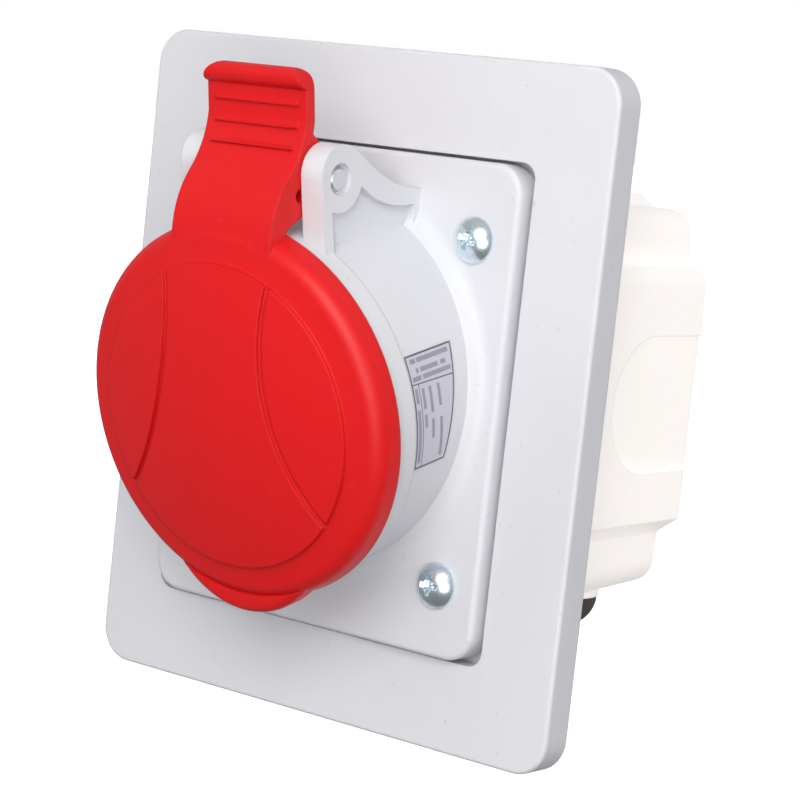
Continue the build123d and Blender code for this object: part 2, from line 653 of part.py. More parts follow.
def build_terminal_block():
    """The star of five walls round a hub that keeps the terminals apart behind the base."""
    outline = Circle(TOWER_HUB_RADIUS)
    for name, x, y, diameter, angle in contact_places():
        between = Rot(0, 0, angle + 180 / CONTACT_COUNT)
        outline += between * Pos(TOWER_RADIUS / 2, 0) * Rectangle(TOWER_RADIUS, TOWER_ARM_THICKNESS)
    outline -= Circle(CENTRAL_HOLE_RADIUS)
    length = CARRIER_REAR_DEPTH - TUBE_REAR_DEPTH - CARRIER_BASE_THICKNESS
    return in_socket(extrude(Pos(0, 0, -CARRIER_REAR_DEPTH) * outline, amount=length))


def build_contact_sleeve(x, y, diameter, angle):
    """A turned sleeve: a slotted tube for the plug pin and a thicker barrel that clamps the wire."""
    bore = diameter / 2 + SLEEVE_RUNNING_FIT
    outer = diameter / 2 + PIN_HOLE_CLEARANCE + SLEEVE_WALL
    front = CARRIER_FACE_DEPTH + SLEEVE_SETBACK
    rear = CARRIER_REAR_DEPTH - SLEEVE_END_GAP
    sleeve = axial(outer, rear, front)
    sleeve += axial(outer + BARREL_STEP, rear, TUBE_REAR_DEPTH + SLEEVE_END_GAP)
    sleeve -= axial(bore, front + SLEEVE_BORE_LENGTH, front - OVERCUT)
    sleeve -= axial(bore * WIRE_HOLE_SHARE, rear + OVERCUT, rear - WIRE_HOLE_LENGTH)
    slot = Rot(0, 0, SLEEVE_SLOT_DEG) * Rectangle(2 * outer + OVERCUT, SLEEVE_SLOT_WIDTH)
    sleeve -= extrude(Pos(0, 0, -front + OVERCUT) * slot, amount=-SLEEVE_SLOT_LENGTH - OVERCUT)
    groove_depth = CARRIER_FACE_DEPTH + RING_SETBACK
    groove = axial(outer + OVERCUT, groove_depth + RING_WIDTH, groove_depth)
    sleeve -= groove - axial(outer - RING_THICKNESS, groove_depth + RING_WIDTH, groove_depth)
    clamp = Pos(0, 0, -CLAMP_DEPTH) * Rot(0, 0, angle) * Pos(outer, 0, 0) * Rot(0, 90, 0)
    sleeve -= clamp * Cylinder(CLAMP_HOLE_RADIUS, 2 * outer)
    return in_socket(Pos(x, y, 0) * sleeve)


def build_contact_rings():
    """Open spring rings in the grooves of the sleeves: they close the slotted ends on the plug pins."""
    rings = []
    front = CARRIER_FACE_DEPTH + RING_SETBACK
    for name, x, y, diameter, angle in contact_places():
        outer = diameter / 2 + PIN_HOLE_CLEARANCE + SLEEVE_WALL
        outline = Circle(outer) - Circle(outer - RING_THICKNESS)
        outline -= Pos(outer, 0) * Rectangle(2 * OVERCUT, RING_GAP)
        ring = extrude(Pos(0, 0, -front) * outline, amount=-RING_WIDTH)
        rings.append(in_socket(Pos(x, y, 0) * Rot(0, 0, angle) * ring))
    return rings


def build_terminal_screws():
    """Five grub screws that clamp the wires in the terminal barrels."""
    screws = []
    screw = Cylinder(CLAMP_SCREW_RADIUS, CLAMP_SCREW_LENGTH)
    screw -= Pos(0, 0, CLAMP_SCREW_LENGTH / 2) * Box(*CLAMP_SCREW_SLOT)
    for name, x, y, diameter, angle in contact_places():
        outer = diameter / 2 + PIN_HOLE_CLEARANCE + SLEEVE_WALL
        place = Pos(x, y, -CLAMP_DEPTH) * Rot(0, 0, angle) * Pos(outer, 0, 0) * Rot(0, 90, 0)
        screws.append(in_socket(place * screw))
    return screws


def build_contact_retainer():
    """The rear plate that keeps the sleeves in the carrier, with a hole for each wire."""
    outline = Circle(TOWER_RADIUS) - Circle(CENTRAL_HOLE_RADIUS)
    for name, x, y, diameter, angle in contact_places():
        outline -= Pos(x, y) * Circle(diameter / 2 * RETAINER_HOLE_SHARE)
    return in_socket(extrude(Pos(0, 0, -CARRIER_REAR_DEPTH) * outline, amount=-RETAINER_THICKNESS))


def pan_head_screw(head_radius, head_height, shank_radius, length):
    """A pan-head screw along -Z with its seat at Z = 0 and a domed head."""
    head = Pos(0, 0, head_height / 2) * Cylinder(head_radius, head_height)
    head &= Pos(0, 0, head_height - SCREW_CROWN_RADIUS) * Sphere(SCREW_CROWN_RADIUS)
    return head + Pos(0, 0, -length / 2) * Cylinder(shank_radius, length)


def cheese_head_screw(head_radius, head_height, shank_radius, length):
    """A plain small screw along -Z with its seat at Z = 0 and a flat head."""
    head = Pos(0, 0, head_height / 2) * Cylinder(head_radius, head_height)
    return head + Pos(0, 0, -length / 2) * Cylinder(shank_radius, length)


def build_flange_screws():
    """The four screws that clamp flange, frame and box together."""
    screw = pan_head_screw(SCREW_HEAD_RADIUS, SCREW_HEAD_HEIGHT, SCREW_SHANK_RADIUS, SCREW_LENGTH)
    screws = []
    for x, z in SCREW_PLACES:
        seat = Plane(origin=(x, FLANGE_FRONT_Y, z), x_dir=(1, 0, 0), z_dir=(0, -1, 0))
        screws.append(seat.location * screw)
    return screws


def build_carrier_screws():
    """The three screws that hold the carrier base to the housing from behind."""
    screw = cheese_head_screw(*CARRIER_SCREW_HEAD, *CARRIER_SCREW_SHANK)
    screws = []
    for x, y in carrier_screw_places():
        place = Pos(x, y, -TUBE_REAR_DEPTH - CARRIER_BASE_THICKNESS) * Rot(180, 0, 0)
        screws.append(in_socket(place * screw))
    return screws


def build_retainer_screw():
    """The screw that holds the rear plate to the hub of the star."""
    screw = cheese_head_screw(*CENTRAL_SCREW_HEAD, CENTRAL_SCREW_RADIUS, CENTRAL_SCREW_LENGTH)
    place = Pos(0, 0, -CARRIER_REAR_DEPTH - RETAINER_THICKNESS) * Rot(180, 0, 0)
    return in_socket(place * screw)


def build_rating_label():
    """The thin plate on the right of the shroud: bordered fields without any lettering."""
    inner = SHROUD_RADIUS + LABEL_GAP
    skin = axial(inner + LABEL_THICKNESS, TUBE_REAR_DEPTH, COLLAR_DEPTH + LABEL_FRONT_GAP)
    skin -= axial(inner, TUBE_REAR_DEPTH + OVERCUT, COLLAR_DEPTH)
    sector = make_face(Polyline(
        (0, 0),
        (REACH, REACH * tan(radians(LABEL_BOTTOM_DEG))),
        (REACH, REACH * tan(radians(LABEL_TOP_DEG))),
        close=True,
    ))
    label = skin & extrude(Pos(0, 0, -REACH) * sector, amount=REACH)
    return in_socket(label) & room_block(LABEL_REAR_Y)


def tall_section(half_width, bottom, top, radius):
    """The tall rounded section of the wall box, parallel to the wall."""
    return Pos(0, (top + bottom) / 2) * RectangleRounded(2 * half_width, top - bottom, radius)


def waist_section(half_width, bottom, top, shoulder):
    """The wide section of the wall box: round shoulders at the top and sloped ones below."""
    inner = half_width - shoulder
    bend = shoulder * (1 - sqrt(0.5))
    floor_half = half_width - BOX_SLOPE_RUN
    floor_z = bottom - BOX_SLOPE_DROP
    return make_face([
        Line((-half_width, bottom), (-half_width, top - shoulder)),
        ThreePointArc((-half_width, top - shoulder), (bend - half_width, top - bend), (-inner, top)),
        Line((-inner, top), (inner, top)),
        ThreePointArc((inner, top), (half_width - bend, top - bend), (half_width, top - shoulder)),
        Line((half_width, top - shoulder), (half_width, bottom)),
        Line((half_width, bottom), (floor_half, floor_z)),
        Line((floor_half, floor_z), (-floor_half, floor_z)),
        Line((-floor_half, floor_z), (-half_width, bottom)),
    ])


def box_bodies(inset):
    """The tall and the wide drafted blocks of the box, pulled in by a wall thickness."""
    tall_sections = []
    waist_sections = []
    ends = [(-BOX_RECESS, BOX_TALL_FRONT, BOX_WAIST_FRONT), (BOX_DEPTH - inset, BOX_TALL_REAR, BOX_WAIST_REAR)]
    for depth_y, tall_size, waist_size in ends:
        half_width, bottom, top = tall_size
        section = tall_section(half_width - inset, bottom + inset, top - inset, BOX_TALL_CORNER - inset)
        tall_sections.append(facing_room(depth_y) * section)
        half_width, bottom, top = waist_size
        section = waist_section(half_width - inset, bottom + inset / 2, top - inset, BOX_WAIST_CORNER - inset)
        waist_sections.append(facing_room(depth_y) * section)
    return loft(tall_sections), loft(waist_sections)


def build_wall_box():
    """The wall box: drafted shell with a wide waist, knock-outs, screw posts and fixing holes."""
    tall, waist = box_bodies(0)
    tall = chamfer(tall.faces().sort_by(Axis.Y)[-1].edges(), BOX_REAR_CHAMFER)
    waist = chamfer(waist.faces().sort_by(Axis.Y)[-1].edges(), BOX_REAR_CHAMFER)
    outer = tall + waist
    land_foot, land_head, land_z = BOX_LAND
    land = make_face(Polyline(
        (-land_foot, land_z), (-land_head, BOX_LAND_TOP), (land_head, BOX_LAND_TOP), (land_foot, land_z), close=True
    ))
    box = outer + slab(land, BOX_DEPTH - BOX_REAR_CHAMFER, -BOX_RECESS)
    for block in box_bodies(BOX_WALL):
        box -= block

    # Each side wall has a knock-out sunk in it: a half round that runs out at the back.
    knockout = Pos(KNOCKOUT_Y, KNOCKOUT_Z) * Circle(KNOCKOUT_RADIUS)
    run_out = BOX_DEPTH - KNOCKOUT_Y + OVERCUT
    knockout += Pos(KNOCKOUT_Y + run_out / 2, KNOCKOUT_Z) * Rectangle(run_out, 2 * KNOCKOUT_RADIUS)
    knockout = side_plate(knockout, BOX_WAIST_HALF_WIDTH - KNOCKOUT_DEPTH, BOX_WAIST_FRONT[0] + OVERCUT)
    box -= knockout
    box -= mirror(knockout, Plane.YZ)

    posts = Sketch()
    for x, z in SCREW_PLACES:
        posts += Pos(x, z) * Circle(POST_RADIUS)
        posts += Pos(x + POST_REACH / 2 * x / abs(x), z) * Rectangle(POST_REACH, POST_WEB)
        posts += Pos(x, z + POST_REACH / 2 * z / abs(z)) * Rectangle(POST_WEB, POST_REACH)
    box += slab(posts, POST_LENGTH, -BOX_RECESS) & outer
    for hole in screw_circles(INSERT_RADIUS):
        box -= slab(hole, INSERT_SEAT_LENGTH, -OVERCUT)
    for hole in screw_circles(SCREW_HOLE_RADIUS):
        box -= slab(hole, POST_HOLE_LENGTH, -OVERCUT)
    for x in (-FIXING_HALF_SPACING, FIXING_HALF_SPACING):
        hole = Pos(x, FIXING_Z) * Circle(FIXING_HOLE_RADIUS)
        box -= slab(hole, BOX_DEPTH + OVERCUT, BOX_DEPTH - BOX_WALL - OVERCUT)
    grommet_seat = Pos(GROMMET_X, GROMMET_Y, GROMMET_Z)
    collar = Cylinder(GROMMET_RADIUS + GROMMET_COLLAR, GROMMET_COLLAR_HEIGHT)
    collar = grommet_seat * Pos(0, 0, GROMMET_COLLAR_HEIGHT / 2) * collar
    box += collar - box_bodies(BOX_WALL / 2)[0]
    return box - grommet_seat * Cylinder(GROMMET_NECK_RADIUS + GROMMET_FIT, 4 * GROMMET_COLLAR_HEIGHT)


def build_box_inserts():
    """The four brass thread inserts in the posts of the box."""
    inserts = []
    for x, z in SCREW_PLACES:
        body = Pos(x, z) * (Circle(INSERT_RADIUS) - Circle(SCREW_SHANK_RADIUS + PIN_CLEARANCE))
        inserts.append(slab(body, INSERT_START + INSERT_LENGTH, INSERT_START))
    return inserts


def build_cable_grommet():
    """The rubber cable entry in the underside of the box: lip, neck and domed membrane."""
    lip_top = GROMMET_LIP_HEIGHT + GROMMET_LIP_THICKNESS
    lip_radius = GROMMET_NECK_RADIUS + GROMMET_LIP_REACH
    bend_start = (GROMMET_RADIUS, GROMMET_BEND - GROMMET_DROP)
    foot_radius = GROMMET_RADIUS - GROMMET_BEND
    slant = GROMMET_BEND * sqrt(0.5)
    bend = (foot_radius + slant, GROMMET_BEND - GROMMET_DROP - slant)
    foot = (foot_radius, -GROMMET_DROP)
    profile = make_face([
        Line((0, lip_top), (lip_radius, lip_top)),
        Line((lip_radius, lip_top), (lip_radius, GROMMET_LIP_HEIGHT)),
        Line((lip_radius, GROMMET_LIP_HEIGHT), (GROMMET_NECK_RADIUS, GROMMET_LIP_HEIGHT)),
        Line((GROMMET_NECK_RADIUS, GROMMET_LIP_HEIGHT), (GROMMET_NECK_RADIUS, 0)),
        Line((GROMMET_NECK_RADIUS, 0), (GROMMET_RADIUS, 0)),
        Line((GROMMET_RADIUS, 0), bend_start),
        ThreePointArc(bend_start, bend, foot),
        Line(foot, (0, -GROMMET_DROP)),
        Line((0, -GROMMET_DROP), (0, lip_top)),
    ])
    return Pos(GROMMET_X, GROMMET_Y, GROMMET_Z) * spun(profile)


def write(name, shape):
    """Writes one node, a single shape or a group of separate solids."""
    if isinstance(shape, list):
        shape = Compound(children=shape)
    export_step(shape, f"parts/{name}.step")


write("frame_plate", build_frame_plate())
write("flange_gasket", build_flange_gasket())
write("socket_housing", build_socket_housing())
write("hinge_pin", build_hinge_pin())
write("lid", build_lid())
write("lid_gasket", build_lid_gasket())
write("lid_spring", build_lid_spring())
write("contact_boss", build_contact_boss())
write("carrier_base", build_carrier_base())
write("terminal_block", build_terminal_block())
for contact, contact_x, contact_y, pin_diameter, contact_angle in contact_places():
    write(f"contact_sleeve_{contact}", build_contact_sleeve(contact_x, contact_y, pin_diameter, contact_angle))
write("contact_rings", build_contact_rings())
write("terminal_screws", build_terminal_screws())
write("contact_retainer", build_contact_retainer())
write("carrier_screws", build_carrier_screws())
write("retainer_screw", build_retainer_screw())
write("flange_screws", build_flange_screws())
write("rating_label", build_rating_label())
write("wall_box", build_wall_box())
write("box_inserts", build_box_inserts())
write("cable_grommet", build_cable_grommet())
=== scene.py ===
"""Looks of an inclined flush-mounted industrial socket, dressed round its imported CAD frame."""

import json
import logging
import math
from dataclasses import dataclass
from enum import Enum

import bpy
from mathutils import Matrix, Vector

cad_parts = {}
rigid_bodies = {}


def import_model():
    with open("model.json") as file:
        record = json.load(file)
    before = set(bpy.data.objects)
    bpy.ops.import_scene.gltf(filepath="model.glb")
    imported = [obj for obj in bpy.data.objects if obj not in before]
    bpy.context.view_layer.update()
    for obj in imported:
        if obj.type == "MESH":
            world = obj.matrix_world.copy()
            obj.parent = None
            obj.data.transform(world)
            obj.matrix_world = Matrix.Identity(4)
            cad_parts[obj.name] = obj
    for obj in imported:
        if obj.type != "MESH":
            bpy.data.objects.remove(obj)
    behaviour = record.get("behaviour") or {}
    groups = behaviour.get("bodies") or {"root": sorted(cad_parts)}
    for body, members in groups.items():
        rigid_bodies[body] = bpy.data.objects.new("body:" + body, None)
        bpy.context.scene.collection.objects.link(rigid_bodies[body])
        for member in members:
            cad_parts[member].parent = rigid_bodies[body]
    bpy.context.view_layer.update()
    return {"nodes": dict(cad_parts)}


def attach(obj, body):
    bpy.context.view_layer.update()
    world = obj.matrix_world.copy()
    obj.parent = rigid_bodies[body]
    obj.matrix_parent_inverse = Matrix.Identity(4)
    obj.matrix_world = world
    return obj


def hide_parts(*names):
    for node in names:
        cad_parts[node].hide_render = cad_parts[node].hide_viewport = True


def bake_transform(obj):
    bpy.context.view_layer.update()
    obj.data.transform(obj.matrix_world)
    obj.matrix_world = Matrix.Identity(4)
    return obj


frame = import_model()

MM = 0.001
QUARTER_TURN = math.radians(90)
FULL_CHANNEL = 255
SRGB_KNEE = 0.04045
SRGB_SLOPE = 12.92
SRGB_OFFSET = 0.055
SRGB_GAMMA = 2.4
WHITE = "#FFFFFF"
LOG = logging.getLogger("wall_socket")


class Body(Enum):
    """The two bodies of the part: what is fixed to the wall, and the lid on its hinge."""

    SOCKET = "socket"
    LID = "lid"


class Slot(Enum):
    """The names of the record's material slots."""

    ZINC = "zinc_steel"
    FILM = "label_film"
    RED = "red_plastic"
    WIRE = "spring_steel"


def linear(hex_code: str) -> tuple[float, float, float, float]:
    """Turns an sRGB hex colour into linear light.

    Args:
        hex_code: The colour as "#RRGGBB".

    Returns:
        Red, green, blue and an alpha of one.
    """
    channels = [int(hex_code[i:i + 2], 16) / FULL_CHANNEL for i in (1, 3, 5)]
    light = [
        c / SRGB_SLOPE if c <= SRGB_KNEE else ((c + SRGB_OFFSET) / (1 + SRGB_OFFSET)) ** SRGB_GAMMA
        for c in channels
    ]
    return (light[0], light[1], light[2], 1.0)


def socket_named(sockets: bpy.types.bpy_prop_collection, name: str) -> bpy.types.NodeSocket:
    """Finds the socket of that name which the node's settings have switched on."""
    return next(s for s in sockets if s.name == name and s.enabled)


def add_node(
    tree: bpy.types.NodeTree, kind: str, inputs: dict[str, object] | None = None, **settings: object
) -> bpy.types.Node:
    """Adds a node with its settings, its fixed inputs and its links.

    Args:
        tree: The material's node tree.
        kind: The node's type name.
        inputs: For each input, a fixed value or the output socket that feeds it.
        **settings: The node's own properties.

    Returns:
        The new node.
    """
    node = tree.nodes.new(kind)
    for name, value in settings.items():
        setattr(node, name, value)
    for name, value in (inputs or {}).items():
        socket = socket_named(node.inputs, name)
        if isinstance(value, bpy.types.NodeSocket):
            tree.links.new(value, socket)
        else:
            socket.default_value = value
    return node


def new_material(name: str) -> tuple[bpy.types.Material, bpy.types.NodeTree]:
    """Makes an empty node material.

    Args:
        name: The finish's common name.

    Returns:
        The material and its node tree.
    """
    material = bpy.data.materials.new(name)
    material.use_nodes = True
    material.node_tree.nodes.clear()
    return material, material.node_tree


def per_metre(size_mm: float) -> float:
    """Scale of a pattern on Object coordinates whose features are that many millimetres."""
    return 1 / (size_mm * MM)


@dataclass(frozen=True)
class MouldedPlastic:
    """A moulded plastic, rubber or print: even colour, soft rolled edges and a faint satin grain.

    The emission setting is a painted glow: light given off in the piece's own colour, though it is no lamp.
    speck_share is how far rare specks of dust go towards their own colour, between the noise levels
    speck_start and speck_full.
    """

    name: str
    colour: str
    shade: str
    roughness: float
    grain_mm: float = 0.6
    grain_height_mm: float = 0.006
    grain_detail: float = 2.0
    grain_roughness: float = 0.6
    patch_mm: float = 22.0
    patch_detail: float = 3.0
    patch_roughness: float = 0.55
    edge_radius_mm: float = 0.35
    edge_samples: int = 4
    sheen_spread: float = 0.06
    scatter: float = 0.0
    scatter_mm: float = 1.0
    specular: float = 0.5
    ior: float = 1.5
    # Strength of a painted glow: the piece gives off light in its own colour, though it is no lamp.
    painted_glow: float = 0.0
    speck_colour: str = "#8E8A88"
    speck_share: float = 0.0
    speck_mm: float = 1.6
    speck_detail: float = 2.0
    speck_start: float = 0.69
    speck_full: float = 0.76

    def build(self) -> bpy.types.Material:
        """Builds the material: broad tone patches, rare specks, uneven gloss, grain and rolled edges.

        Returns:
            The material.
        """
        material, tree = new_material(self.name)
        place = add_node(tree, "ShaderNodeTexCoord").outputs["Object"]
        patches = add_node(tree, "ShaderNodeTexNoise", {
            "Vector": place, "Scale": per_metre(self.patch_mm),
            "Detail": self.patch_detail, "Roughness": self.patch_roughness,
        })
        tone = add_node(tree, "ShaderNodeMix", {
            "Factor": patches.outputs["Fac"], "A": linear(self.colour), "B": linear(self.shade),
        }, data_type="RGBA")
        dirt = add_node(tree, "ShaderNodeTexNoise", {
            "Vector": place, "Scale": per_metre(self.speck_mm), "Detail": self.speck_detail,
        })
        specks = add_node(tree, "ShaderNodeMapRange", {
            "Value": dirt.outputs["Fac"], "From Min": self.speck_start, "From Max": self.speck_full,
            "To Max": self.speck_share,
        })
        tone = add_node(tree, "ShaderNodeMix", {
            "Factor": socket_named(specks.outputs, "Result"),
            "A": socket_named(tone.outputs, "Result"), "B": linear(self.speck_colour),
        }, data_type="RGBA")
        gloss = add_node(tree, "ShaderNodeMapRange", {
            "Value": patches.outputs["Fac"],
            "To Min": self.roughness - self.sheen_spread, "To Max": self.roughness + self.sheen_spread,
        })
        grain = add_node(tree, "ShaderNodeTexNoise", {
            "Vector": place, "Scale": per_metre(self.grain_mm),
            "Detail": self.grain_detail, "Roughness": self.grain_roughness,
        })
        edges = add_node(
            tree, "ShaderNodeBevel", {"Radius": self.edge_radius_mm * MM}, samples=self.edge_samples
        )
        relief = add_node(tree, "ShaderNodeBump", {
            "Height": grain.outputs["Fac"], "Distance": self.grain_height_mm * MM,
            "Strength": 1.0, "Normal": edges.outputs["Normal"],
        })
        surface = add_node(tree, "ShaderNodeBsdfPrincipled", {
            "Base Color": socket_named(tone.outputs, "Result"),
            "Roughness": socket_named(gloss.outputs, "Result"),
            "IOR": self.ior,
            "Specular IOR Level": self.specular,
            # Painted glow: emission in the piece's own colour that brightens it as if it were lit.
            "Emission Color": linear(self.colour),
            "Emission Strength": self.painted_glow,
            "Subsurface Weight": self.scatter,
            "Subsurface Scale": self.scatter_mm * MM,
            "Normal": relief.outputs["Normal"],
        })
        add_node(tree, "ShaderNodeOutputMaterial", {"Surface": surface.outputs["BSDF"]})
        return material


@dataclass(frozen=True)
class PlatedMetal:
    """A plated, drawn or turned metal: bright, with a fine cloudiness in its gloss."""

    name: str
    colour: str
    shade: str
    roughness: float
    gloss_spread: float = 0.3
    cloud_mm: float = 1.6
    cloud_detail: float = 3.0
    mark_mm: float = 0.25
    mark_detail: float = 1.0
    mark_height_mm: float = 0.002

    def build(self) -> bpy.types.Material:
        """Builds the material: cloudy gloss and fine tool marks.

        Returns:
            The material.
        """
        material, tree = new_material(self.name)
        place = add_node(tree, "ShaderNodeTexCoord").outputs["Object"]
        clouds = add_node(tree, "ShaderNodeTexNoise", {
            "Vector": place, "Scale": per_metre(self.cloud_mm), "Detail": self.cloud_detail,
        })
        tone = add_node(tree, "ShaderNodeMix", {
            "Factor": clouds.outputs["Fac"], "A": linear(self.colour), "B": linear(self.shade),
        }, data_type="RGBA")
        gloss = add_node(tree, "ShaderNodeMapRange", {
            "Value": clouds.outputs["Fac"],
            "To Min": self.roughness * (1 - self.gloss_spread),
            "To Max": self.roughness * (1 + self.gloss_spread),
        })
        marks = add_node(tree, "ShaderNodeTexNoise", {
            "Vector": place, "Scale": per_metre(self.mark_mm), "Detail": self.mark_detail,
        })
        relief = add_node(tree, "ShaderNodeBump", {
            "Height": marks.outputs["Fac"], "Distance": self.mark_height_mm * MM, "Strength": 1.0,
        })
        surface = add_node(tree, "ShaderNodeBsdfPrincipled", {
            "Base Color": socket_named(tone.outputs, "Result"),
            "Roughness": socket_named(gloss.outputs, "Result"),
            "Metallic": 1.0,
            "Normal": relief.outputs["Normal"],
        })
        add_node(tree, "ShaderNodeOutputMaterial", {"Surface": surface.outputs["BSDF"]})
        return material


# Polyamide of the frame and housing: cool light grey with a soft satin from the spark-eroded mould.
GREY_PLASTIC = MouldedPlastic(
    "light grey polyamide", "#DDDEE2", "#D7D7DC", roughness=0.45, speck_share=0.2
)
# The lid's polyamide: signal red with a low satin, and edges rolled wide enough to catch the light.
RED_PLASTIC = MouldedPlastic(
    "signal red polyamide", "#DD1014", "#D61015", roughness=0.44, grain_mm=0.7, grain_height_mm=0.008,
    patch_mm=16.0, edge_radius_mm=0.7, specular=0.36, speck_share=0.08,
)
# The box's polypropylene: warm white and milky, with a painted glow that makes it brighter than the lamps
# alone would.
BOX_PLASTIC = MouldedPlastic(
    "warm white polypropylene", "#FBF7F4", "#F6F1EC", roughness=0.4, patch_mm=30.0, edge_radius_mm=0.5,
    scatter=0.2, scatter_mm=2.0, painted_glow=0.35,
)
# The contact carrier's glass-filled polyamide: dark grey and matt.
CARRIER_PLASTIC = MouldedPlastic(
    "dark grey glass-filled polyamide", "#3A3B3E", "#2E2F32", roughness=0.5
)
# Seal rubber: black and matt.
SEAL_RUBBER = MouldedPlastic(
    "black seal rubber", "#26272A", "#1C1C1F", roughness=0.72, edge_radius_mm=0.2
)
# The cable entry's rubber: dark grey-brown with a worn, uneven bloom.
ENTRY_RUBBER = MouldedPlastic(
    "dark grey-brown rubber", "#4A4443", "#5A4A44", roughness=0.55, patch_mm=4.0, sheen_spread=0.15
)
# The label's printed film: pale cool grey, smooth, a little shinier than the shroud under it.
LABEL_FILM = MouldedPlastic(
    "pale label film", "#CACAD5", "#C4C3CF", roughness=0.3, grain_mm=1.2, grain_height_mm=0.002,
    edge_radius_mm=0.05,
)
# Screen-printed ink: flat dark grey with slightly uneven cover.
PRINT_INK = MouldedPlastic(
    "dark grey printing ink", "#55565F", "#6B6C76", roughness=0.5, patch_mm=1.2, edge_radius_mm=0.05
)
# The same ink where it stands for small print: lighter, as fine strokes look from afar.
PALE_INK = MouldedPlastic(
    "mid grey printing ink", "#8C8C98", "#A3A3AE", roughness=0.5, patch_mm=0.8, edge_radius_mm=0.05
)
# Bright zinc plate: bluish, with soft round highlights and faint clouding.
ZINC_PLATE = PlatedMetal("bright zinc plate", "#F0F8FC", "#D4E6F0", roughness=0.26)
# The pin's satin steel end, pale against the ear.
PIN_STEEL = PlatedMetal("satin nickel-plated steel", "#E6E6EA", "#D9D9DE", roughness=0.34)
# Drawn spring wire: darker, with drawing marks.
SPRING_STEEL = PlatedMetal("drawn spring steel wire", "#9A9B9E", "#808286", roughness=0.3)
# Turned brass of contacts and inserts.
TURNED_BRASS = PlatedMetal("turned brass", "#D8B868", "#C9A555", roughness=0.26)


def dress(node: str, material: bpy.types.Material) -> None:
    """Gives a CAD node its finish in every material slot.

    Args:
        node: The node's name.
        material: The finish.
    """
    obj = frame["nodes"][node]
    if not obj.material_slots:
        obj.data.materials.append(material)
    for slot in obj.material_slots:
        slot.material = material
    LOG.info("dressed %s in %s", node, material.name)


def deselect() -> None:
    """Leaves edit mode and deselects everything, so that operators act on new pieces only."""
    if bpy.context.mode != "OBJECT":
        bpy.ops.object.mode_set(mode="OBJECT")
    bpy.ops.object.select_all(action="DESELECT")


def only(obj: bpy.types.Object) -> bpy.types.Object:
    """Makes one object the selected and active one.

    Args:
        obj: The object.

    Returns:
        The same object.
    """
    deselect()
    obj.select_set(True)
    bpy.context.view_layer.objects.active = obj
    return obj


def new_piece(name: str) -> bpy.types.Object:
    """Names the object that an operator has just added.

    Args:
        name: The name of the object and its data.

    Returns:
        The object.
    """
    obj = bpy.context.active_object
    obj.name = name
    obj.data.name = name
    return obj


def settle(obj: bpy.types.Object) -> None:
    """Puts an object's place into its mesh, which leaves the object at the origin."""
    only(obj)
    bpy.ops.object.transform_apply(location=True, rotation=True, scale=True)


def copy_piece(source: bpy.types.Object, name: str) -> bpy.types.Object:
    """Copies a finished piece with a mesh of its own.

    Args:
        source: The piece to copy.
        name: The copy's name.

    Returns:
        The copy.
    """
    twin = source.copy()
    twin.data = source.data.copy()
    twin.name = name
    twin.data.name = name
    bpy.context.collection.objects.link(twin)
    return twin


def apply_modifier(obj: bpy.types.Object, kind: str, **settings: object) -> None:
    """Adds a modifier, sets it and applies it.

    Args:
        obj: The piece.
        kind: The modifier's type.
        **settings: The modifier's own properties.
    """
    only(obj)
    modifier = obj.modifiers.new(kind.lower(), kind)
    for name, value in settings.items():
        setattr(modifier, name, value)
    bpy.ops.object.modifier_apply(modifier=modifier.name)


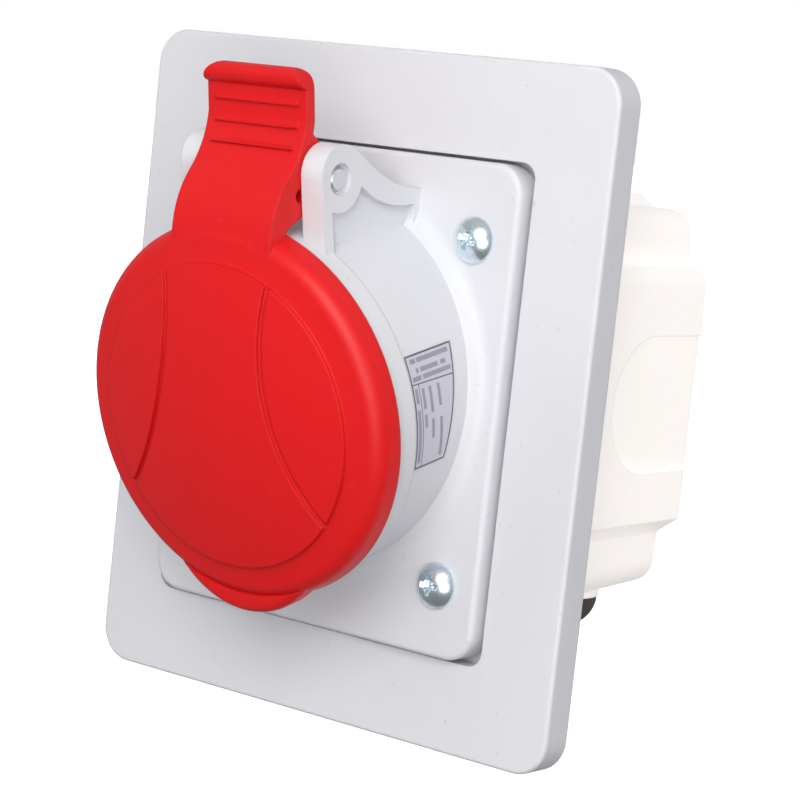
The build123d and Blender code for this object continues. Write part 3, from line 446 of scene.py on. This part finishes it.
@dataclass
class FlangeScrews:
    """Four pan-head screws with a cross recess, each turned its own way; sizes in millimetres."""

    head_radius: float = 5.0
    head_height: float = 3.4
    crown_radius: float = 6.1
    crown_steps: int = 9
    head_facets: int = 96
    shank_radius: float = 2.45
    shank_length: float = 30.0
    shank_facets: int = 64
    seat_y: float = -11.0
    place_x: float = 35.35
    top_z: float = 36.2
    bottom_z: float = -38.3
    recess_reach: float = 3.15
    recess_width: float = 1.45
    recess_depth: float = 2.3
    # How far a bar stands above the crown, and how much of its length and width it keeps at its foot.
    bar_rise: float = 0.4
    bar_foot: tuple[float, float] = (0.3, 0.7)
    bar_turns_deg: tuple[float, float] = (0.0, 90.0)
    core_mouth_radius: float = 1.9
    core_foot_radius: float = 0.4
    core_rise: float = 0.2
    core_extra: float = 0.9
    core_facets: int = 48
    edge_width: float = 0.12
    edge_segments: int = 3
    edge_angle_deg: float = 35.0
    smooth_angle_deg: float = 40.0
    near: float = 0.1
    # For each screw: right or left of the middle, upper or lower, and the turn of its recess.
    turns_deg: tuple[tuple[int, int, float], ...] = (
        (1, 1, -15.0), (1, -1, -2.0), (-1, 1, 38.0), (-1, -1, 24.0)
    )

    def head(self) -> bpy.types.Object:
        """Models the head and shank: a disc drawn up in rings that follow the crown.

        Returns:
            The screw without its recess.
        """
        deselect()
        bpy.ops.mesh.primitive_cylinder_add(
            vertices=self.shank_facets, radius=self.shank_radius * MM, depth=self.shank_length * MM,
            location=(0, 0, -self.shank_length / 2 * MM),
        )
        shank = new_piece("screw_shank")
        deselect()
        bpy.ops.mesh.primitive_circle_add(
            vertices=self.head_facets, radius=self.head_radius * MM, fill_type="NGON"
        )
        head = new_piece("screw_head")
        bpy.ops.object.mode_set(mode="EDIT")
        bpy.ops.mesh.select_all(action="SELECT")
        rim = self.crown_height(self.head_radius)
        bpy.ops.mesh.extrude_region_move(TRANSFORM_OT_translate={"value": (0, 0, rim * MM)})
        radius, height = self.head_radius, rim
        for step in range(1, self.crown_steps + 1):
            turn = QUARTER_TURN * step / (self.crown_steps + 1)
            new_radius = self.head_radius * math.cos(turn)
            new_height = self.crown_height(new_radius)
            bpy.ops.mesh.extrude_region_move(
                TRANSFORM_OT_translate={"value": (0, 0, (new_height - height) * MM)}
            )
            ratio = new_radius / radius
            bpy.ops.transform.resize(
                value=(ratio, ratio, 1), center_override=(0, 0, new_height * MM)
            )
            radius, height = new_radius, new_height
        bpy.ops.mesh.select_all(action="SELECT")
        bpy.ops.mesh.normals_make_consistent(inside=False)
        bpy.ops.object.mode_set(mode="OBJECT")
        apply_modifier(head, "BOOLEAN", operation="UNION", object=shank, solver="EXACT")
        bpy.data.objects.remove(shank)
        return head

    def crown_height(self, radius: float) -> float:
        """Height of the domed face above the seat at a distance from the axis."""
        return self.head_height - self.crown_radius + math.sqrt(self.crown_radius**2 - radius**2)

    def recess_bar(self, turn_deg: float) -> bpy.types.Object:
        """Models one bar of the cross, drawn in towards its foot.

        Args:
            turn_deg: The bar's turn about the screw's axis.

        Returns:
            The bar, standing on the crown and reaching the recess depth.
        """
        deselect()
        top = self.head_height + self.bar_rise
        bpy.ops.mesh.primitive_cube_add(size=1, location=(0, 0, (top - self.recess_depth / 2) * MM))
        bar = new_piece("recess_bar")
        height = self.recess_depth + self.bar_rise
        bar.scale = (2 * self.recess_reach * MM, self.recess_width * MM, height * MM)
        settle(bar)
        foot = min(vertex.co.z for vertex in bar.data.vertices)
        for vertex in bar.data.vertices:
            vertex.select = vertex.co.z < foot + self.near * MM
        for edge in bar.data.edges:
            edge.select = all(bar.data.vertices[i].select for i in edge.vertices)
        for face in bar.data.polygons:
            face.select = all(bar.data.vertices[i].select for i in face.vertices)
        bpy.ops.object.mode_set(mode="EDIT")
        bpy.ops.transform.resize(value=(*self.bar_foot, 1), center_override=(0, 0, foot))
        bpy.ops.object.mode_set(mode="OBJECT")
        bar.rotation_euler = (0, 0, math.radians(turn_deg))
        settle(bar)
        return bar

    def screw(self) -> bpy.types.Object:
        """Models one finished screw along Z with its seat at the origin.

        Returns:
            The screw.
        """
        screw = self.head()
        deselect()
        middle = self.head_height + self.core_rise - self.recess_depth / 2
        bpy.ops.mesh.primitive_cone_add(
            vertices=self.core_facets, radius1=self.core_foot_radius * MM,
            radius2=self.core_mouth_radius * MM, depth=(self.recess_depth + self.core_extra) * MM,
            location=(0, 0, middle * MM),
        )
        core = new_piece("recess_core")
        for cutter in [self.recess_bar(turn) for turn in self.bar_turns_deg] + [core]:
            apply_modifier(screw, "BOOLEAN", operation="DIFFERENCE", object=cutter, solver="EXACT")
            bpy.data.objects.remove(cutter)
        apply_modifier(
            screw, "BEVEL", width=self.edge_width * MM, segments=self.edge_segments,
            limit_method="ANGLE", angle_limit=math.radians(self.edge_angle_deg),
        )
        only(screw)
        bpy.ops.object.shade_smooth_by_angle(angle=math.radians(self.smooth_angle_deg))
        return screw

    def build(self, zinc: bpy.types.Material) -> None:
        """Sets the four screws in their seats, each with its recess turned its own way.

        Args:
            zinc: The screws' finish.
        """
        master = self.screw()
        for side, level, turn in self.turns_deg:
            place_z = self.top_z if level > 0 else self.bottom_z
            name = f"flange_screw_{'right' if side > 0 else 'left'}_{'upper' if level > 0 else 'lower'}"
            screw = copy_piece(master, name)
            seat = Matrix.Translation(Vector((side * self.place_x, self.seat_y, place_z)) * MM)
            facing = Matrix.Rotation(QUARTER_TURN, 4, "X")
            turned = Matrix.Rotation(math.radians(turn), 4, "Z")
            screw.matrix_world = seat @ facing @ turned
            settle(screw)
            screw.data.materials.clear()
            screw.data.materials.append(zinc)
            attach(screw, Body.SOCKET.value)
            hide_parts("flange_screws")
            LOG.info("built %s", name)
        bpy.data.objects.remove(master)


@dataclass(frozen=True)
class LidFace:
    """The inclined frame of the socket: up the lid's face, and out along its axis."""

    tilt_deg: float = 13.05
    centre_mm: tuple[float, float, float] = (0.0, -45.6, -6.5)

    def up(self) -> Vector:
        """Direction up the face."""
        tilt = math.radians(self.tilt_deg)
        return Vector((0, -math.sin(tilt), math.cos(tilt)))

    def out(self) -> Vector:
        """Direction out of the face, along the socket's axis."""
        tilt = math.radians(self.tilt_deg)
        return Vector((0, -math.cos(tilt), -math.sin(tilt)))


def merged_copy(node: str, name: str, merge_mm: float = 0.002) -> bpy.types.Object:
    """Copies a CAD node and joins its loose triangles into one skin.

    Args:
        node: The CAD node.
        name: The copy's name.
        merge_mm: How far apart doubles may lie.

    Returns:
        The copy, ready for smooth shading.
    """
    skin = only(copy_piece(frame["nodes"][node], name))
    bpy.ops.object.parent_clear(type="CLEAR_KEEP_TRANSFORM")
    settle(skin)
    bpy.ops.mesh.customdata_custom_splitnormals_clear()
    bpy.ops.object.mode_set(mode="EDIT")
    bpy.ops.mesh.select_all(action="SELECT")
    bpy.ops.mesh.remove_doubles(threshold=merge_mm * MM)
    bpy.ops.object.mode_set(mode="OBJECT")
    return skin


@dataclass
class SmoothLid:
    """The lid as one joined skin, shaded smooth up to its real edges, with slim finger ridges."""

    edge_angle_deg: float = 28.0
    # Edges at the back of the ridges: height up the face, place out of it, and how far each is let down.
    ridge_backs_mm: tuple[tuple[float, float, float], ...] = (
        (56.9, -12.75, 1.1), (58.7, -14.45, 0.22), (61.0, -14.6, 0.8), (65.6, -15.25, 0.6)
    )
    ridge_half_mm: float = 11.4
    near_mm: float = 0.08

    def slim_ridges(self, lid: bpy.types.Object) -> None:
        """Lets the back of each finger ridge down to the lever, which leaves a thin ridge.

        Args:
            lid: The lid's skin.
        """
        face = LidFace()
        for height, depth, drop in self.ridge_backs_mm:
            only(lid)
            bpy.ops.object.mode_set(mode="EDIT")
            bpy.ops.mesh.select_all(action="DESELECT")
            bpy.ops.object.mode_set(mode="OBJECT")
            for vertex in lid.data.vertices:
                place = vertex.co / MM - Vector(face.centre_mm)
                vertex.select = (
                    abs(place.dot(face.up()) - height) < self.near_mm
                    and abs(place.dot(face.out()) - depth) < self.near_mm
                    and abs(place.x) < self.ridge_half_mm
                )
            bpy.ops.object.mode_set(mode="EDIT")
            bpy.ops.transform.translate(value=-drop * MM * face.out())
            bpy.ops.object.mode_set(mode="OBJECT")

    def build(self, red: bpy.types.Material) -> None:
        """Merges a copy of the CAD lid, which stands in for it.

        Args:
            red: The lid's finish.
        """
        lid = merged_copy("lid", "lid_skin")
        self.slim_ridges(lid)
        bpy.ops.object.shade_smooth_by_angle(angle=math.radians(self.edge_angle_deg))
        lid.data.materials.clear()
        lid.data.materials.append(red)
        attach(lid, Body.LID.value)
        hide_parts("lid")
        LOG.info("built %s", lid.name)


@dataclass
class TorsionSpring:
    """The lid spring, which winds up round the pin: one leg on the shroud, one behind the lever."""

    coil_half_mm: float = 4.74
    edge_angle_deg: float = 50.0

    def build(self, steel: bpy.types.Material) -> None:
        """Merges a copy of the CAD spring, which stands in for it.

        Args:
            steel: The wire's finish.
        """
        spring = merged_copy("lid_spring", "lid_spring_wire")
        bpy.ops.object.shade_smooth_by_angle(angle=math.radians(self.edge_angle_deg))
        spring.data.materials.clear()
        spring.data.materials.append(steel)
        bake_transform(spring)
        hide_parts("lid_spring")
        LOG.info("built %s", spring.name)


@dataclass(frozen=True)
class InkStrip:
    """A straight strip of print on the label, by its ends up the lid face and along the axis."""

    up_mm: tuple[float, float]
    out_mm: tuple[float, float]
    width_mm: float


@dataclass
class LabelPrint:
    """The label's print without its lettering: a border, two dividing lines and plain bars.

    Places are millimetres up the lid's face and out along the socket's axis. A row gives its height
    and the ends of its bars; a column gives its depth and the ends of its bars.
    """

    start_x: float = 41.5
    lift_mm: float = 0.02
    ink_mm: float = 0.02
    grid: tuple[int, int] = (40, 4)
    top: float = 14.7
    bottom: float = -9.0
    front: float = -15.75
    rear_top: float = -30.95
    rear_bottom: float = -25.5
    border_width: float = 0.34
    field_line_up: tuple[float, float] = (9.0, 8.5)
    field_line_rear: float = -29.75
    field_line_width: float = 0.24
    column_line_top: float = 8.9
    column_line_out: float = -17.75
    column_line_width: float = 0.16
    row_width: float = 0.95
    rows: tuple[tuple[float, tuple[float, ...]], ...] = (
        (13.55, (-16.9, -18.6, -19.1, -29.6)),
        (11.55, (-18.0, -18.9, -19.5, -25.4, -26.3, -28.0)),
        (10.0, (-16.4, -19.2, -19.8, -29.2)),
    )
    column_width: float = 0.85
    columns: tuple[tuple[float, tuple[float, ...]], ...] = (
        (-16.75, (8.1, 5.0, 3.6, -7.9)),
        (-18.9, (7.8, 3.4, 2.2, -0.6)),
        (-21.2, (7.8, 2.2, 0.8, -3.4)),
        (-24.0, (7.7, 3.0, 0.6, -8.0)),
    )

    def lines(self) -> list[InkStrip]:
        """The border, the line under the upper field and the line beside the first column.

        Returns:
            The six strips.
        """
        side, rear = (self.top, self.bottom), (self.rear_top, self.rear_bottom)
        column_line = (self.column_line_out, self.column_line_out)
        return [
            InkStrip(side, (self.front, self.front), self.border_width),
            InkStrip((self.top, self.top), (self.front, self.rear_top), self.border_width),
            InkStrip(side, rear, self.border_width),
            InkStrip((self.bottom, self.bottom), (self.front, self.rear_bottom), self.border_width),
            InkStrip(self.field_line_up, (self.front, self.field_line_rear), self.field_line_width),
            InkStrip((self.column_line_top, self.bottom), column_line, self.column_line_width),
        ]

    def bars(self) -> list[InkStrip]:
        """Short bars in three rows and four columns where the small print stands.

        Returns:
            The strips.
        """
        strips = []
        for level, ends in self.rows:
            pairs = zip(ends[::2], ends[1::2])
            strips += [InkStrip((level, level), pair, self.row_width) for pair in pairs]
        for depth, ends in self.columns:
            pairs = zip(ends[::2], ends[1::2])
            strips += [InkStrip(pair, (depth, depth), self.column_width) for pair in pairs]
        return strips

    def strip(self, strip: InkStrip, name: str) -> bpy.types.Object:
        """Models one strip: a fine grid in front of the label, laid down on it along X.

        Args:
            strip: Where the strip runs.
            name: The piece's name.

        Returns:
            The strip as a thin solid on the label.
        """
        face = LidFace()
        start = Vector(face.centre_mm) + Vector((self.start_x, 0, 0))
        ends = [start + up * face.up() + out * face.out() for up, out in zip(strip.up_mm, strip.out_mm)]
        along = (ends[1] - ends[0]).normalized()
        across = Vector((1, 0, 0)).cross(along)
        deselect()
        along_cells, across_cells = self.grid
        bpy.ops.mesh.primitive_grid_add(x_subdivisions=along_cells, y_subdivisions=across_cells, size=MM)
        piece = new_piece(name)
        turn = Matrix((along, across, Vector((1, 0, 0)))).transposed().to_4x4()
        size = Matrix.Diagonal(((ends[1] - ends[0]).length, strip.width_mm, 1, 1))
        piece.matrix_world = Matrix.Translation((ends[0] + ends[1]) / 2 * MM) @ turn @ size
        settle(piece)
        apply_modifier(
            piece, "SHRINKWRAP", target=frame["nodes"]["rating_label"], wrap_method="PROJECT",
            use_project_x=True, use_negative_direction=True, use_positive_direction=False,
            offset=self.lift_mm * MM,
        )
        apply_modifier(piece, "SOLIDIFY", thickness=self.ink_mm * MM, offset=1.0)
        return piece

    def layer(self, strips: list[InkStrip], name: str, ink: bpy.types.Material) -> None:
        """Joins strips into one printed layer on the label.

        Args:
            strips: The strips.
            name: The layer's name.
            ink: The layer's finish.
        """
        pieces = [self.strip(strip, f"{name}_{index}") for index, strip in enumerate(strips)]
        layer = only(pieces[0])
        for piece in pieces[1:]:
            piece.select_set(True)
        bpy.ops.object.join()
        layer.name = name
        layer.data.name = name
        layer.data.materials.clear()
        layer.data.materials.append(ink)
        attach(layer, Body.SOCKET.value)
        LOG.info("built %s", name)

    def build(self) -> None:
        """Prints the lines and the bars."""
        self.layer(self.lines(), "label_lines", PRINT_INK.build())
        self.layer(self.bars(), "label_bars", PALE_INK.build())


@dataclass(frozen=True)
class PhotoCamera:
    """The camera at the photo's viewing angle, by its turn round the socket and its distance."""

    azimuth_deg: float = 37.13
    elevation_deg: float = 5.92
    roll_deg: float = 6.21
    distance_mm: float = 584.21
    aim_mm: tuple[float, float, float] = (1.15, 0.0, 0.0)
    pan_right_mm: float = 7.95
    pan_up_mm: float = 0.23
    lens_mm: float = 117.08
    shift_x: float = 0.0016
    shift_y: float = -0.0211
    sensor_mm: float = 36.0
    clip_start_m: float = 0.01

    def place(self) -> None:
        """Adds the camera and makes it the scene's own."""
        azimuth, elevation = math.radians(self.azimuth_deg), math.radians(self.elevation_deg)
        roll = math.radians(self.roll_deg)
        back = Vector((
            math.sin(azimuth) * math.cos(elevation), -math.cos(azimuth) * math.cos(elevation),
            math.sin(elevation),
        ))
        level = Vector((0, 0, 1)).cross(back).normalized()
        upright = back.cross(level)
        right = math.cos(roll) * level + math.sin(roll) * upright
        top = math.cos(roll) * upright - math.sin(roll) * level
        spot = (
            Vector(self.aim_mm) + self.pan_right_mm * right + self.pan_up_mm * top + self.distance_mm * back
        ) * MM
        deselect()
        bpy.ops.object.camera_add()
        camera = new_piece("photo_camera")
        turn = Matrix((right, top, back)).transposed().to_4x4()
        camera.matrix_world = Matrix.Translation(spot) @ turn
        camera.data.lens = self.lens_mm
        camera.data.sensor_width = self.sensor_mm
        camera.data.shift_x = self.shift_x
        camera.data.shift_y = self.shift_y
        camera.data.clip_start = self.clip_start_m
        bpy.context.scene.camera = camera


@dataclass(frozen=True)
class SoftLight:
    """A round soft box aimed at a point of the socket, mirrored in bright metal or not."""

    name: str
    spot_mm: tuple[float, float, float]
    aim_mm: tuple[float, float, float]
    side_mm: float
    watts: float
    colour: str = WHITE
    mirrored: bool = True

    def place(self) -> None:
        """Adds the light."""
        deselect()
        bpy.ops.object.light_add(type="AREA", location=Vector(self.spot_mm) * MM)
        lamp = new_piece(self.name)
        back = Vector(self.spot_mm) - Vector(self.aim_mm)
        lamp.rotation_euler = back.to_track_quat("Z", "Y").to_euler()
        lamp.data.shape = "DISK"
        lamp.data.size = self.side_mm * MM
        lamp.data.energy = self.watts
        lamp.data.color = linear(self.colour)[:3]
        lamp.visible_camera = False
        lamp.visible_glossy = self.mirrored


@dataclass(frozen=True)
class Studio:
    """The plain pale floor and the soft light round the socket.

    The surround lights the socket more from above than from below, and the camera sees it white.
    """

    floor_z_mm: float = -320.0
    floor_side_mm: float = 60000.0
    paper_roughness: float = 0.9
    surround_below: float = 0.2
    surround_above: float = 0.54
    lights: tuple[SoftLight, ...] = (
        SoftLight("key_light", (260, -560, 310), (0, -20, 0), side_mm=400, watts=2.35),
        SoftLight("fill_light", (500, -640, -90), (0, -20, 0), side_mm=520, watts=2.2),
        SoftLight("left_light", (-560, -560, 240), (0, -20, 0), side_mm=500, watts=0.9, mirrored=False),
        SoftLight("side_light", (800, -300, 300), (0, 0, 0), side_mm=520, watts=0.65, mirrored=False),
    )

    def build(self) -> None:
        """Adds floor, surround and lights."""
        deselect()
        bpy.ops.mesh.primitive_plane_add(
            size=self.floor_side_mm * MM, location=(0, 0, self.floor_z_mm * MM)
        )
        floor = new_piece("pale_floor")
        material, tree = new_material("pale matt paper")
        surface = add_node(tree, "ShaderNodeBsdfPrincipled", {
            "Base Color": linear(WHITE), "Roughness": self.paper_roughness,
            "Emission Color": linear(WHITE), "Emission Strength": 1.0,
        })
        add_node(tree, "ShaderNodeOutputMaterial", {"Surface": surface.outputs["BSDF"]})
        floor.data.materials.append(material)
        floor.visible_diffuse = False
        floor.visible_glossy = False
        world = bpy.data.worlds.new("pale_surround")
        world.use_nodes = True
        bpy.context.scene.world = world
        tree = world.node_tree
        tree.nodes.clear()
        path = add_node(tree, "ShaderNodeLightPath")
        direction = add_node(tree, "ShaderNodeSeparateXYZ", {
            "Vector": add_node(tree, "ShaderNodeTexCoord").outputs["Generated"],
        })
        height = add_node(tree, "ShaderNodeMapRange", {
            "Value": direction.outputs["Z"], "From Min": -1.0, "From Max": 1.0,
            "To Min": self.surround_below, "To Max": self.surround_above,
        })
        seen = add_node(tree, "ShaderNodeBackground", {"Color": linear(WHITE), "Strength": 1.0})
        felt = add_node(tree, "ShaderNodeBackground", {
            "Color": linear(WHITE), "Strength": socket_named(height.outputs, "Result"),
        })
        mixed = add_node(tree, "ShaderNodeMixShader", {"Fac": path.outputs["Is Camera Ray"]})
        tree.links.new(felt.outputs["Background"], mixed.inputs[1])
        tree.links.new(seen.outputs["Background"], mixed.inputs[2])
        add_node(tree, "ShaderNodeOutputWorld", {"Surface": mixed.outputs["Shader"]})
        for light in self.lights:
            light.place()
        bpy.context.scene.view_settings.view_transform = "Standard"


def main() -> None:
    """Builds the studio, dresses every CAD node and adds the pieces that Blender models."""
    logging.basicConfig(level=logging.INFO, format="%(message)s")
    PhotoCamera().place()
    Studio().build()
    grey, red = GREY_PLASTIC.build(), RED_PLASTIC.build()
    finishes = {
        "frame_plate": grey,
        "socket_housing": grey,
        "lid": red,
        "wall_box": BOX_PLASTIC.build(),
        "rating_label": LABEL_FILM.build(),
        "cable_grommet": ENTRY_RUBBER.build(),
        "hinge_pin": PIN_STEEL.build(),
    }
    wire, brass, zinc = SPRING_STEEL.build(), TURNED_BRASS.build(), ZINC_PLATE.build()
    carrier, rubber = CARRIER_PLASTIC.build(), SEAL_RUBBER.build()
    for node in frame["nodes"]:
        if node in finishes:
            dress(node, finishes[node])
        elif node in ("lid_gasket", "flange_gasket"):
            dress(node, rubber)
        elif node in ("contact_boss", "carrier_base", "terminal_block", "contact_retainer"):
            dress(node, carrier)
        elif node in ("lid_spring", "contact_rings"):
            dress(node, wire)
        elif "screw" in node:
            dress(node, zinc)
        else:
            dress(node, brass)
    FlangeScrews().build(zinc)
    SmoothLid().build(red)
    TorsionSpring().build(wire)
    LabelPrint().build()


if __name__ == "__main__":
    main()
